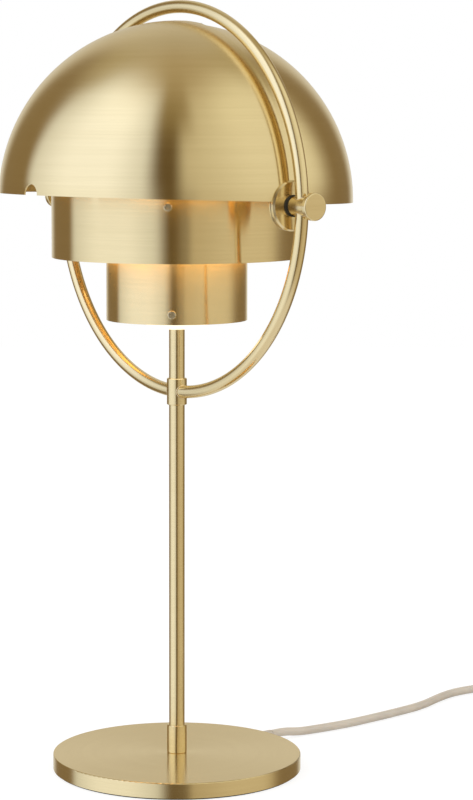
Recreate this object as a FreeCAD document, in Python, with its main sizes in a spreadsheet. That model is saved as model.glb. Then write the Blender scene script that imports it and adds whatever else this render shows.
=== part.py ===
import FreeCAD, Part
import math
import os
from types import SimpleNamespace

import Sketcher

# Dome shade desk lamp. Millimetres, +Z up. The origin is the centre of the base's underside, which
# stands on the table. The shades turn about a cross axis along X, and the lead leaves towards +Y.

# Driving dimensions. Heights are measured from the table unless a line says otherwise.
SIZES = {
    # general fits
    "slip_fit": 0.1,             # radial room between fixed pieces that slide together
    "running_fit": 0.08,         # radial room between a pivot and what turns on it
    "face_gap": 0.1,             # room between flat faces that turn against each other
    # base
    "base_radius": 81.2,
    "base_headroom": 0.5,        # over the lead's gland
    "pad_thickness": 1.0,
    "pad_inset": 1.4,
    "cover_wall": 1.2,
    "cover_round": 0.6,
    "weight_room": 0.3,
    "nut_pocket_radius": 11.0,
    "nut_room": 0.2,             # under the nut
    "washer_radius": 9.0,
    "washer_thickness": 1.0,
    "nut_corner_radius": 8.6,
    "nut_thickness": 2.4,
    # stem and its sleeves
    "stem_radius": 5.1,
    "stem_bore": 4.0,
    "stem_foot": 0.3,            # above the pad
    "slot_foot_room": 0.1,       # under the lead's cores
    "slot_rise": 2.6,            # above the lead's cores
    "slot_side_room": 0.6,
    "base_collar_wall": 1.4,
    "base_collar_length": 18.5,
    "ring_collar_wall": 1.4,
    "ring_collar_length": 17.2,
    "collar_chamfer": 0.4,
    # ring
    "pivot_height": 372.2,
    "ring_gap": 4.7,             # between the front shade and the ring
    "tube_radius": 4.1,
    "tube_bore": 3.1,
    # shades
    "shade_radius": 114.3,       # outside of the front shade, which passes over the back one
    "shade_sheet": 1.0,
    "nest_gap": 0.5,
    "ear_radius": 15.5,
    "notch_room": 1.7,           # around the stem
    "front_rim_rise": 2.4,       # rim above the pivot axis before the shade is tilted
    "front_top_edge": 2.2,       # top edge short of the ring's plane
    "front_lift": 1.7,           # degrees
    "back_rim_rise": 0.6,
    "back_top_lap": 2.6,         # top edge past the ring's plane, under the front shade
    "back_drop": 1.1,            # degrees
    # pivots, each piece measured along the cross axis
    "stud_radius": 3.0,
    "stud_head_radius": 6.0,
    "stud_head_length": 3.0,
    "clamp_washer_radius": 8.0,
    "clamp_washer_thickness": 1.0,
    "ear_washer_radius": 8.0,
    "ear_washer_gap": 0.1,
    "disc_radius": 15.5,
    "disc_thickness": 1.8,
    "disc_chamfer": 1.0,
    "bush_radius": 6.7,
    "bush_length": 1.2,
    "sleeve_radius": 6.0,
    "sleeve_length": 15.7,
    "socket_radius": 4.4,
    "socket_depth": 8.4,
    "knob_radius": 8.5,
    "knob_length": 3.8,
    "knob_round": 0.8,
    "spigot_length": 8.0,
    "stud_grip": 1.6,            # how far the stud reaches into the knob's head
    # cylinders
    "upper_cylinder_radius": 80.5,
    "upper_cylinder_rise": 7.2,  # above the pivots
    "upper_cylinder_length": 43.3,
    "lower_cylinder_radius": 45.4,
    "lower_cylinder_lap": 5.2,   # inside the upper cylinder
    "lower_cylinder_length": 45.6,
    "cylinder_sheet": 1.0,
    "upper_screw_inset": 8.2,    # below the upper cylinder's top rim
    "lower_screw_inset": 6.5,    # above the lower cylinder's bottom rim
    "screw_angle": -41.8,        # degrees from +X
    "screw_shank_radius": 1.5,
    "screw_head_radius": 2.7,
    "screw_head_length": 1.5,
    "screw_head_round": 0.5,
    "screw_socket_radius": 1.25,
    "screw_socket_depth": 0.9,
    "upper_screw_length": 4.0,
    "lower_screw_length": 4.6,
    # spiders
    "spider_plate": 1.6,
    "spider_arm_width": 9.0,
    "tab_wall": 1.5,
    "lower_spider_rise": 4.9,    # above the lower screws
    "lower_hub_radius": 12.0,
    "lower_tab_drop": 3.3,       # below the lower screws
    "upper_hub_radius": 28.0,
    "upper_tab_rise": 5.6,       # above the upper screws
    "spider_nut_thickness": 3.0,
    # diffuser bowl
    "bowl_screw_room": 0.6,
    "bowl_wall": 2.4,
    "bowl_drop": 6.5,            # bottom of the bowl below the lower cylinder's rim
    "bowl_stem_room": 0.4,
    "flange_room": 0.3,
    "flange_thickness": 1.8,
    # lampholder
    "holder_cap_low_radius": 13.0,
    "holder_cap_step": 1.0,      # from the body in to the cap
    "holder_cap_height": 20.0,
    "holder_cap_cone": 8.0,
    "holder_wall": 2.2,
    "holder_body_radius": 20.0,
    "holder_body_height": 29.0,
    "holder_shoulder_lip": 3.5,
    "holder_shoulder_height": 17.2,
    "holder_shoulder_thickness": 2.0,
    "holder_ring_wall": 4.5,
    "holder_ring_height": 5.0,
    "core_thickness": 6.0,
    "contact_radius": 4.0,
    "contact_height": 2.6,
    "shell_wall": 0.4,
    "shell_height": 20.0,
    # bulb
    "cap_radius": 13.1,
    "cap_height": 22.0,
    "cap_tip_radius": 5.0,
    "cap_tip_height": 1.6,
    "cap_room": 0.15,
    "housing_height": 22.0,
    "housing_low_radius": 13.8,
    "globe_neck_radius": 23.0,
    "globe_radius": 30.0,
    "globe_wall": 1.0,
    "stem_reach": 15.8,          # of the stem into the lampholder
    # lead inside the base and the stem
    "cord_radius": 2.85,
    "lead_angle": 99.0,          # degrees from +X, where the lead leaves the base
    "lead_straight": 12.0,       # past the strain relief
    "core_wire_radius": 1.1,
    "core_wire_spread": 1.3,
    "core_wire_lift": 0.3,       # above the nut's washer
    "core_wire_bend": 4.0,
    "sheath_inset": 23.2,        # from the base's edge, as are the next two insets
    "stop_inset": 19.2,
    "stop_length": 6.0,
    "stop_wall": 1.05,
    "gland_inset": 7.2,
    "gland_flange_wall": 1.2,
    "gland_neck_wall": 0.55,
    "gland_boss_wall": 1.05,
    "gland_tip_wall": 0.35,
    "gland_length": 20.0,
    "channel_room": 0.25,
    "wire_channel_room": 0.9,
    "wire_channel_end": 16.0,
    # put-away coil
    "coil_x": 90.9,
    "coil_y": 290.0,
    "coil_start_radius": 40.0,
    "coil_pitch": 6.3,
    "tie_wall": 0.6,
    "tie_room": 0.1,
    "tie_width": 7.0,
    # in-line switch
    "switch_x": 21.6,
    "switch_y": 352.7,
    "switch_length": 62.0,
    "switch_width": 24.0,
    "switch_corner": 7.0,
    "switch_height": 15.0,
    "switch_split": 7.0,
    "switch_wall": 1.6,
    "switch_slot_length": 17.0,
    "switch_slot_width": 8.0,
    "slider_length": 10.0,
    "slider_room": 0.4,
    "slider_rise": 2.0,          # above the switch's top
    "slider_foot_room": 0.3,
    "slider_foot_wall": 1.2,
    "slider_foot_lip": 1.4,
    "slider_end_room": 0.5,
    # plug
    "plug_x": 151.0,
    "plug_y": 202.0,
    "plug_length": 36.0,
    "plug_taper": 16.0,
    "plug_width": 26.0,
    "plug_height": 13.7,
    "plug_corner": 5.0,
    "plug_tail": 10.0,
    "plug_tail_corner": 3.0,
    "pin_radius": 2.0,
    "pin_length": 19.0,
    "pin_spacing": 19.0,
    "pin_round": 1.2,
    "pin_root": 4.0,
}
SCREWS = 3
# Half turns on the coil's lower layer. One more climbs, and the upper layer has one more than the lower.
LOWER_HALF_TURNS = 5
# Points on an eighth of a turn of the coil, for measuring the space between its turns.
EIGHTH = 12

# The free lead's route, from the strain relief to the switch: x, y and height of its centre line.
LEAD_ROUTE = [
    (-16.4, 119.5, 2.9), (-14.6, 138.0, 2.9), (-13.2, 160.0, 2.9), (-15.0, 186.0, 2.9),
    (-17.6, 213.0, 2.9), (-21.6, 241.0, 2.9), (-32.6, 268.0, 2.9), (-38.0, 288.0, 2.9),
    (-37.4, 307.0, 2.9), (-33.5, 325.0, 2.9), (-24.0, 339.1, 2.9), (-9.9, 348.6, 3.6),
    (6.6, 352.7, 7.3), (21.6, 352.7, 7.5),
]
# From the switch to the coil.
LINK_ROUTE = [
    (83.6, 352.7, 7.5), (98.0, 352.7, 7.2), (112.8, 346.7, 3.6), (124.1, 335.4, 2.9),
    (130.0, 320.9, 3.1), (130.9, 308.0, 3.5), (130.9, 295.7, 3.55),
]
# From the coil to the plug.
TAIL_ROUTE = [
    (130.9, 284.3, 9.85), (130.9, 271.5, 9.8), (134.6, 258.3, 7.4), (141.6, 245.6, 3.4),
    (148.0, 232.5, 3.2), (150.9, 217.5, 6.3), (151.0, 202.0, 6.85),
]

doc = FreeCAD.newDocument("lamp")
sheet = doc.addObject("Spreadsheet::Sheet", "Sizes")
parts = {}
Vector = FreeCAD.Vector
Z_AXIS = Vector(0, 0, 1)


class Size:
    """A number together with the sheet expression that gives it."""

    def __init__(self, value, text):
        self.value = float(value)
        self.text = text

    def joined(self, other, sign, value):
        return Size(value, f"({self.text} {sign} {sized(other).text})")

    def __add__(self, other):
        return self.joined(other, "+", self.value + sized(other).value)

    def __sub__(self, other):
        return self.joined(other, "-", self.value - sized(other).value)

    def __mul__(self, other):
        return self.joined(other, "*", self.value * sized(other).value)

    def __truediv__(self, other):
        return self.joined(other, "/", self.value / sized(other).value)

    def __radd__(self, other):
        return sized(other) + self

    def __neg__(self):
        return sized(0) - self


def sized(number):
    """A Size as it is, or a plain number as a Size."""
    return number if isinstance(number, Size) else Size(number, f"({float(number)})")


def leg(long_side, short_side):
    """The other short side of a right-angled triangle."""
    square = long_side * long_side - short_side * short_side
    return Size(math.sqrt(square.value), f"sqrt({square.text})")


def sine(angle):
    return Size(math.sin(math.radians(angle.value)), f"sin({angle.text})")


def cosine(angle):
    return Size(math.cos(math.radians(angle.value)), f"cos({angle.text})")


for row, (alias, number) in enumerate(SIZES.items(), 1):
    sheet.set(f"A{row}", alias)
    sheet.set(f"B{row}", str(number))
    sheet.setAlias(f"B{row}", alias)
doc.recompute()
s = SimpleNamespace(**{alias: Size(number, f"Sizes.{alias}") for alias, number in SIZES.items()})


# ---------------------------------------------------------------- building blocks


def bind(thing, **sizes):
    """Set properties, and tie each one to the sheet."""
    for name, size in sizes.items():
        setattr(thing, name, sized(size).value)
        if isinstance(size, Size):
            thing.setExpression(name, size.text)


def put(thing, x=0, y=0, z=0, turn=FreeCAD.Rotation()):
    """Place a thing, with its position tied to the sheet."""
    spot = [sized(size) for size in (x, y, z)]
    thing.Placement = FreeCAD.Placement(Vector(*[size.value for size in spot]), turn)
    for axis, size in zip("xyz", (x, y, z)):
        if isinstance(size, Size):
            thing.setExpression(f"Placement.Base.{axis}", size.text)
    return thing


def cylinder(name, radius, length, **spot):
    thing = doc.addObject("Part::Cylinder", name)
    bind(thing, Radius=radius, Height=length)
    return put(thing, **spot)


def box(name, length, width, height, **spot):
    thing = doc.addObject("Part::Box", name)
    bind(thing, Length=length, Width=width, Height=height)
    return put(thing, **spot)


def sphere(name, radius):
    thing = doc.addObject("Part::Sphere", name)
    bind(thing, Radius=radius)
    return thing


def hexagon(name, corner_radius, height, **spot):
    thing = doc.addObject("Part::Prism", name)
    thing.Polygon = 6
    bind(thing, Circumradius=corner_radius, Height=height)
    return put(thing, **spot)


def joined(name, *things):
    thing = doc.addObject("Part::MultiFuse", name)
    thing.Shapes = list(things)
    return thing


def shared(name, first, second):
    thing = doc.addObject("Part::Common", name)
    thing.Base = first
    thing.Tool = second
    return thing


def cut(name, base, *tools):
    thing = doc.addObject("Part::Cut", name)
    thing.Base = base
    thing.Tool = tools[0] if len(tools) == 1 else joined(f"{name}_tools", *tools)
    return thing


def group(name, things):
    thing = doc.addObject("Part::Compound", name)
    thing.Links = list(things)
    return thing


def keep(node, thing):
    """Make a thing one of the lamp's sub-parts."""
    thing.Label = node
    parts[node] = thing
    return thing


def arc_between(start, end, radius, left):
    """A minor arc that bulges to the left or right of the way from start to end, and whether it is drawn
    from end to start."""
    chord = end - start
    middle = (start + end) * 0.5
    left_way = Vector(-chord.y, chord.x, 0).normalize()
    depth = math.sqrt(max(radius ** 2 - (chord.Length / 2) ** 2, 0.0))
    centre = middle - left_way * depth if left else middle + left_way * depth
    first, last = (end, start) if left else (start, end)
    angles = [math.atan2(p.y - centre.y, p.x - centre.x) for p in (first, last)]
    return Part.ArcOfCircle(Part.Circle(centre, Z_AXIS, radius), *angles), left


def draw(sketch, corners):
    """Draw a closed outline whose corners are tied to the sheet. A corner is (x, y), or (x, y, radius, side)
    where an arc that bulges to the left or right leads to it."""
    spots = [Vector(sized(c[0]).value, sized(c[1]).value, 0) for c in corners]
    ends = []
    for index, corner in enumerate(corners):
        start, end = spots[index - 1], spots[index]
        if len(corner) == 2:
            sketch.addGeometry(Part.LineSegment(start, end), False)
            ends.append((1, 2))
        else:
            edge, backwards = arc_between(start, end, sized(corner[2]).value, corner[3] == "left")
            sketch.addGeometry(edge, False)
            ends.append((2, 1) if backwards else (1, 2))
    bound = []
    for index, corner in enumerate(corners):
        following = (index + 1) % len(corners)
        here = (index, ends[index][1])
        sketch.addConstraint(Sketcher.Constraint("Coincident", *here, following, ends[following][0]))
        for kind, size in zip(("DistanceX", "DistanceY"), corner[:2]):
            if sized(size).value == 0:
                line = -2 if kind == "DistanceX" else -1
                sketch.addConstraint(Sketcher.Constraint("PointOnObject", *here, line))
            else:
                bound.append((Sketcher.Constraint(kind, -1, 1, *here, sized(size).value), size))
        if len(corner) > 2:
            bound.append((Sketcher.Constraint("Radius", index, sized(corner[2]).value), corner[2]))
    for constraint, size in bound:
        number = sketch.addConstraint(constraint)
        if isinstance(size, Size):
            sketch.setExpression(f"Constraints[{number}]", size.text)


def outlined(name, role, corners):
    """A body with one closed sketch on one of its own planes."""
    body = doc.addObject("PartDesign::Body", name)
    sketch = body.newObject("Sketcher::SketchObject", f"{name}_outline")
    sketch.AttachmentSupport = [(next(f for f in body.Origin.OriginFeatures if f.Role == role), "")]
    sketch.MapMode = "FlatFace"
    draw(sketch, corners)
    return body, sketch


def turned(name, corners, **spot):
    """A piece turned about its own Z axis, from an outline of radius and height."""
    body, sketch = outlined(name, "XZ_Plane", corners)
    feature = body.newObject("PartDesign::Revolution", f"{name}_turn")
    feature.Profile = sketch
    feature.ReferenceAxis = (sketch, ["V_Axis"])
    feature.Angle = 360
    body.Tip = feature
    return put(body, **spot)


def slab(name, corners, height, **spot):
    """A flat piece with the given outline in XY and a height."""
    body, sketch = outlined(name, "XY_Plane", corners)
    feature = body.newObject("PartDesign::Pad", f"{name}_pad")
    feature.Profile = sketch
    bind(feature, Length=height)
    body.Tip = feature
    return put(body, **spot)


def ring_outline(inner, outer, low, high):
    return [(inner, low), (outer, low), (outer, high), (inner, high)]


def chamfered_outline(inner, outer, low, high, chamfer):
    """A ring with both outer edges chamfered."""
    return [(inner, low), (outer - chamfer, low), (outer, low + chamfer), (outer, high - chamfer),
            (outer - chamfer, high), (inner, high)]


def rounded_outline(x_low, x_high, y_low, y_high, corner):
    """A rectangle with rounded corners."""
    return [(x_low, y_low + corner), (x_low + corner, y_low, corner, "right"),
            (x_high - corner, y_low), (x_high, y_low + corner, corner, "right"),
            (x_high, y_high - corner), (x_high - corner, y_high, corner, "right"),
            (x_low + corner, y_high), (x_low, y_high - corner, corner, "right")]


def outward(angle):
    """The turn that points a piece's own Z axis away from the lamp's axis, in plan."""
    return FreeCAD.Rotation(Z_AXIS, sized(angle).value) * FreeCAD.Rotation(Vector(0, 1, 0), 90)


TO_SIDE = {"near": FreeCAD.Rotation(Vector(0, 1, 0), 90), "far": FreeCAD.Rotation(Vector(0, 1, 0), -90)}


# ---------------------------------------------------------------- base

gland_flange_radius = s.cord_radius + s.gland_flange_wall
gland_neck_radius = s.cord_radius + s.gland_neck_wall
weight_height = gland_flange_radius * 2 + s.base_headroom
skirt_height = weight_height + s.cover_wall
base_height = skirt_height + s.pad_thickness
lead_height = s.pad_thickness + weight_height / 2
nut_pocket_depth = s.washer_thickness + s.nut_thickness + s.nut_room
core_wire_height = s.pad_thickness + nut_pocket_depth + s.core_wire_lift + s.core_wire_radius
slot_low = core_wire_height - s.core_wire_radius - s.slot_foot_room
slot_high = core_wire_height + s.slot_rise
core_half_width = s.core_wire_spread + s.core_wire_radius
cover_inside = s.base_radius - s.cover_wall
far_out = s.base_radius + s.gland_length


def along_lead(name, width, low, high, reach):
    """A straight block from the lamp's axis out along the lead, to cut channels with."""
    return box(name, reach, width, high - low, x=width / 2 * sine(s.lead_angle),
               y=-(width / 2 * cosine(s.lead_angle)), z=low,
               turn=FreeCAD.Rotation(Z_AXIS, s.lead_angle.value))


def make_base():
    keep("base_pad", turned("base_pad", [
        (0, 0), (s.base_radius - s.pad_inset, 0), (s.base_radius - s.pad_inset, s.pad_thickness),
        (0, s.pad_thickness)]))

    hole = s.stem_radius + s.slip_fit
    shell = turned("cover_shell", [
        (hole, weight_height), (cover_inside, weight_height), (cover_inside, 0), (s.base_radius, 0),
        (s.base_radius, skirt_height - s.cover_round),
        (s.base_radius - s.cover_round, skirt_height, s.cover_round, "right"),
        (hole, skirt_height)], z=s.pad_thickness)
    exit_hole = cylinder("cover_exit_hole", gland_neck_radius + s.slip_fit, far_out, z=lead_height,
                         turn=outward(s.lead_angle))
    keep("base_cover", cut("base_cover", shell, exit_hole))

    disc = turned("weight_disc", [
        (hole, nut_pocket_depth), (s.nut_pocket_radius, nut_pocket_depth), (s.nut_pocket_radius, 0),
        (cover_inside - s.weight_room, 0), (cover_inside - s.weight_room, weight_height),
        (hole, weight_height)], z=s.pad_thickness)
    channel = cut("lead_channel",
                  along_lead("lead_channel_long", (gland_flange_radius + s.channel_room) * 2, sized(0),
                             base_height, far_out),
                  cylinder("lead_channel_stop", s.wire_channel_end, base_height))
    wires = along_lead("wire_channel", (core_half_width + s.wire_channel_room) * 2, slot_low, slot_high,
                       s.wire_channel_end * 2)
    keep("base_weight", cut("base_weight", disc, channel, wires))

    pocket_top = s.pad_thickness + nut_pocket_depth
    keep("base_washer", turned("base_washer", ring_outline(hole, s.washer_radius, 0, s.washer_thickness),
                               z=pocket_top - s.washer_thickness))
    nut_low = pocket_top - s.washer_thickness - s.nut_thickness
    nut = hexagon("base_nut_blank", s.nut_corner_radius, s.nut_thickness, z=nut_low)
    keep("base_nut", cut("base_nut", nut, cylinder("base_nut_bore", s.stem_radius, base_height)))


# ---------------------------------------------------------------- stem

ring_radius = s.shade_radius + s.ring_gap + s.tube_radius
ring_low = s.pivot_height - ring_radius
ring_collar_radius = s.stem_radius + s.ring_collar_wall
upper_cylinder_high = s.pivot_height + s.upper_cylinder_rise
upper_cylinder_low = upper_cylinder_high - s.upper_cylinder_length
lower_cylinder_high = upper_cylinder_low + s.lower_cylinder_lap
lower_cylinder_low = lower_cylinder_high - s.lower_cylinder_length
upper_screw_height = upper_cylinder_high - s.upper_screw_inset
lower_screw_height = lower_cylinder_low + s.lower_screw_inset
lower_spider_level = lower_screw_height + s.lower_spider_rise
holder_low = lower_spider_level + s.spider_plate
body_low = holder_low + s.holder_cap_height
upper_spider_level = body_low + s.holder_shoulder_height


def make_stem():
    keep("base_collar", turned("base_collar", chamfered_outline(
        s.stem_radius, s.stem_radius + s.base_collar_wall, 0, s.base_collar_length, s.collar_chamfer),
        z=base_height))
    foot = s.pad_thickness + s.stem_foot
    tube = turned("lower_stem_tube", ring_outline(s.stem_bore, s.stem_radius, 0, ring_low - foot), z=foot)
    slot = along_lead("stem_slot", (core_half_width + s.slot_side_room) * 2, slot_low, slot_high,
                      s.stem_radius * 2)
    keep("lower_stem", cut("lower_stem", tube, slot))
    keep("upper_stem", turned("upper_stem", ring_outline(
        s.stem_bore, s.stem_radius, 0, holder_low + s.stem_reach - ring_low), z=ring_low))
    keep("ring_collar", turned("ring_collar", chamfered_outline(
        s.stem_radius, ring_collar_radius, 0, s.ring_collar_length, s.collar_chamfer),
        z=ring_low - s.ring_collar_length / 2))


# ---------------------------------------------------------------- pivots and ring

back_radius = s.shade_radius - s.shade_sheet - s.nest_gap
front_seat = leg(s.shade_radius, s.ear_radius)
back_seat = leg(back_radius, s.ear_radius)
disc_start = front_seat + s.face_gap
bush_start = disc_start + s.disc_thickness
sleeve_start = bush_start + s.bush_length
sleeve_end = sleeve_start + s.sleeve_length
knob_start = sleeve_end + s.face_gap
clamp_end = back_seat - s.shade_sheet - s.face_gap
stud_seat = clamp_end - s.clamp_washer_thickness


def at_pivot(side, distance):
    """The place on the cross axis at a distance from the lamp's axis, on one side."""
    return {"x": distance if side == "near" else -distance, "z": s.pivot_height, "turn": TO_SIDE[side]}


def make_pivot(side):
    """The pieces of one pivot, from the inside of the shades outwards."""
    hole = s.stud_radius + s.slip_fit
    keep(f"{side}_pivot_stud", turned(f"{side}_pivot_stud", [
        (0, -s.stud_head_length), (s.stud_head_radius, -s.stud_head_length), (s.stud_head_radius, 0),
        (s.stud_radius, 0), (s.stud_radius, knob_start + s.stud_grip - stud_seat),
        (0, knob_start + s.stud_grip - stud_seat)], **at_pivot(side, stud_seat)))
    keep(f"{side}_clamp_washer", turned(f"{side}_clamp_washer", ring_outline(
        hole, s.clamp_washer_radius, 0, s.clamp_washer_thickness), **at_pivot(side, stud_seat)))
    washer_start = back_seat + s.ear_washer_gap
    washer = front_seat - s.shade_sheet - s.ear_washer_gap - washer_start
    keep(f"{side}_ear_washer", turned(f"{side}_ear_washer", ring_outline(
        hole, s.ear_washer_radius, 0, washer), **at_pivot(side, washer_start)))
    keep(f"{side}_pivot_disc", turned(f"{side}_pivot_disc", [
        (hole, 0), (s.disc_radius, 0), (s.disc_radius, s.disc_thickness - s.disc_chamfer),
        (s.disc_radius - s.disc_chamfer, s.disc_thickness), (hole, s.disc_thickness)],
        **at_pivot(side, disc_start)))
    keep(f"{side}_pivot_bush", turned(f"{side}_pivot_bush", ring_outline(
        hole, s.bush_radius, 0, s.bush_length), **at_pivot(side, bush_start)))
    keep(f"{side}_pivot_sleeve", turned(f"{side}_pivot_sleeve", [
        (hole, 0), (s.sleeve_radius, 0), (s.sleeve_radius, s.sleeve_length),
        (s.socket_radius, s.sleeve_length), (s.socket_radius, s.sleeve_length - s.socket_depth),
        (hole, s.sleeve_length - s.socket_depth)], **at_pivot(side, sleeve_start)))
    bore = s.stud_radius + s.running_fit
    bore_end = s.stud_grip + s.slip_fit
    keep(f"{side}_knob", turned(f"{side}_knob", [
        (bore, -s.spigot_length), (s.socket_radius - s.running_fit, -s.spigot_length),
        (s.socket_radius - s.running_fit, 0), (s.knob_radius - s.knob_round, 0),
        (s.knob_radius, s.knob_round, s.knob_round, "right"), (s.knob_radius, s.knob_length - s.knob_round),
        (s.knob_radius - s.knob_round, s.knob_length, s.knob_round, "right"), (0, s.knob_length),
        (0, bore_end), (bore, bore_end)], **at_pivot(side, knob_start)))


def make_ring():
    reach = ring_radius + s.tube_radius * 2
    upright = FreeCAD.Rotation(Vector(1, 0, 0), 90)
    tubes = []
    for name, radius in (("ring_outside", s.tube_radius), ("ring_inside", s.tube_bore)):
        torus = doc.addObject("Part::Torus", name)
        bind(torus, Radius1=ring_radius, Radius2=radius)
        tubes.append(put(torus, turn=upright))
    hollow = cut("ring_tube", *tubes)
    cross = cylinder("ring_cross_cut", s.sleeve_radius, reach * 2, x=-reach, turn=TO_SIDE["near"])
    post = cylinder("ring_post_cut", ring_collar_radius, reach, z=-reach)
    block = s.tube_radius * 4
    spans = {"ring_upper_arc": (reach * 2, -reach, sized(0)),
             "ring_lower_arc_near": (reach, sized(0), -reach),
             "ring_lower_arc_far": (reach, -reach, -reach)}
    for node, (length, x, z) in spans.items():
        half = box(f"{node}_space", length, block, reach, x=x, y=-(block / 2), z=z)
        arc = cut(node, shared(f"{node}_blank", hollow, half), cross, post)
        keep(node, put(arc, z=s.pivot_height))


# ---------------------------------------------------------------- shades


def make_shade(node, radius, rim_rise, y_low, y_high, tilt):
    """A quarter sphere whose poles are flattened into round ears on the cross axis."""
    seat = leg(radius, s.ear_radius)
    reach = s.shade_radius * 2
    skin = cut(f"{node}_sphere", sphere(f"{node}_outside", radius),
               sphere(f"{node}_inside", radius - s.shade_sheet))
    quarter = box(f"{node}_quarter", seat * 2, y_high - y_low, reach, x=-seat, y=y_low, z=rim_rise)
    ears = [cylinder(f"{node}_ear_{side}", s.ear_radius, s.shade_sheet,
                     x=seat - s.shade_sheet if side == "near" else -(seat - s.shade_sheet),
                     turn=TO_SIDE[side]) for side in TO_SIDE]
    blank = joined(f"{node}_blank", shared(f"{node}_skin", skin, quarter), *ears)
    pivot_holes = cylinder(f"{node}_pivot_holes", s.stud_radius + s.running_fit, reach * 2, x=-reach,
                           turn=TO_SIDE["near"])
    notch = cylinder(f"{node}_notch", s.stem_radius + s.notch_room, y_high - y_low, y=y_high, z=rim_rise,
                     turn=FreeCAD.Rotation(Vector(1, 0, 0), 90))
    shade = keep(node, cut(node, blank, pivot_holes, notch))
    put(shade, z=s.pivot_height, turn=FreeCAD.Rotation(Vector(-1, 0, 0), tilt.value))
    shade.setExpression("Placement.Rotation.Angle", tilt.text)


def make_shades():
    reach = s.shade_radius * 2
    make_shade("front_shade", s.shade_radius, s.front_rim_rise, -reach, -s.front_top_edge, s.front_lift)
    make_shade("back_shade", back_radius, s.back_rim_rise, -s.back_top_lap, reach, s.back_drop)


# ---------------------------------------------------------------- cylinders and spiders


def screw_angles():
    return [s.screw_angle + 360 / SCREWS * number for number in range(SCREWS)]


def radial_cuts(name, radius, height, reach):
    """One round cutter for each screw, from the lamp's axis outwards."""
    return [cylinder(f"{name}_{number}", radius, reach, z=height, turn=outward(angle))
            for number, angle in enumerate(screw_angles())]


def make_screws(node, wall_radius, height, length):
    screws = []
    for number, angle in enumerate(screw_angles()):
        top = s.screw_head_length
        spot = {"x": wall_radius * cosine(angle), "y": wall_radius * sine(angle), "z": height,
                "turn": outward(angle)}
        blank = turned(f"{node}_{number}_blank", [
            (0, -length), (s.screw_shank_radius, -length), (s.screw_shank_radius, 0),
            (s.screw_head_radius, 0), (s.screw_head_radius, top - s.screw_head_round),
            (s.screw_head_radius - s.screw_head_round, top, s.screw_head_round, "right"), (0, top)], **spot)
        floor = wall_radius + top - s.screw_socket_depth
        socket = hexagon(f"{node}_{number}_socket", s.screw_socket_radius, s.screw_head_length,
                         x=floor * cosine(angle), y=floor * sine(angle), z=height, turn=outward(angle))
        screws.append(cut(f"{node}_{number}", blank, socket))
    keep(node, group(node, screws))


def make_cylinder(name, radius, low, high, screw_height, screw_length):
    tube = turned(f"{name}_tube", ring_outline(radius - s.cylinder_sheet, radius, 0, high - low), z=low)
    holes = radial_cuts(f"{name}_hole", s.screw_shank_radius + s.slip_fit, screw_height, radius * 2)
    keep(name, cut(name, tube, *holes))
    make_screws(f"{name}_screws", radius, screw_height, screw_length)


def make_spider(node, bore, hub, level, wall_radius, tab_low, tab_high, screw_height):
    """A flat three-armed carrier whose tabs lie against the inside of a cylinder."""
    inside = wall_radius - s.cylinder_sheet
    reach = wall_radius * 2
    solids = [cylinder(f"{node}_hub", hub, s.spider_plate, z=level)]
    for number, angle in enumerate(screw_angles()):
        aside_x = s.spider_arm_width / 2 * sine(angle)
        aside_y = s.spider_arm_width / 2 * cosine(angle)
        turn = FreeCAD.Rotation(Z_AXIS, angle.value)
        solids.append(box(f"{node}_arm_{number}", inside, s.spider_arm_width, s.spider_plate, x=aside_x,
                          y=-aside_y, z=level, turn=turn))
        start = inside - s.tab_wall
        solids.append(box(f"{node}_tab_{number}", s.tab_wall * 2, s.spider_arm_width, tab_high - tab_low,
                          x=start * cosine(angle) + aside_x, y=start * sine(angle) - aside_y, z=tab_low,
                          turn=turn))
    whole = shared(f"{node}_blank", joined(f"{node}_solids", *solids),
                   cylinder(f"{node}_limit", inside, tab_high))
    taps = radial_cuts(f"{node}_tap", s.screw_shank_radius, screw_height, reach)
    opening = cylinder(f"{node}_bore", bore, level + s.spider_plate * 2)
    keep(node, cut(node, whole, opening, *taps))


def make_cylinders():
    make_cylinder("upper_cylinder", s.upper_cylinder_radius, upper_cylinder_low, upper_cylinder_high,
                  upper_screw_height, s.upper_screw_length)
    make_cylinder("lower_cylinder", s.lower_cylinder_radius, lower_cylinder_low, lower_cylinder_high,
                  lower_screw_height, s.lower_screw_length)
    make_spider("lower_spider", s.stem_radius + s.slip_fit, s.lower_hub_radius, lower_spider_level,
                s.lower_cylinder_radius, lower_screw_height - s.lower_tab_drop,
                lower_spider_level + s.spider_plate, lower_screw_height)
    make_spider("upper_spider", s.holder_body_radius + s.slip_fit, s.upper_hub_radius, upper_spider_level,
                s.upper_cylinder_radius, upper_spider_level, upper_screw_height + s.upper_tab_rise,
                upper_screw_height)
    nut_low = lower_spider_level - s.spider_nut_thickness
    nut = hexagon("spider_nut_blank", s.nut_corner_radius, s.spider_nut_thickness, z=nut_low)
    keep("spider_nut", cut("spider_nut", nut, cylinder("spider_nut_bore", s.stem_radius, lower_spider_level)))


def make_diffuser():
    """An opal bowl that hangs by its flange on the tips of the lower screws."""
    bottom = lower_cylinder_low - s.bowl_drop
    flange = lower_screw_height + s.screw_shank_radius
    top = flange + s.flange_thickness
    depth = flange - bottom
    rim = s.lower_cylinder_radius - s.lower_screw_length - s.bowl_screw_room
    outer = (rim * rim + depth * depth) / (depth * 2)
    inner = outer - s.bowl_wall
    centre = bottom + outer
    hole = s.stem_radius + s.bowl_stem_room
    flange_radius = s.lower_cylinder_radius - s.cylinder_sheet - s.tab_wall - s.flange_room
    keep("diffuser", turned("diffuser", [
        (hole, centre - leg(outer, hole)), (rim, flange, outer, "right"), (flange_radius, flange),
        (flange_radius, top), (leg(inner, centre - top), top),
        (hole, centre - leg(inner, hole), inner, "left")]))


# ---------------------------------------------------------------- lampholder and bulb

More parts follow.
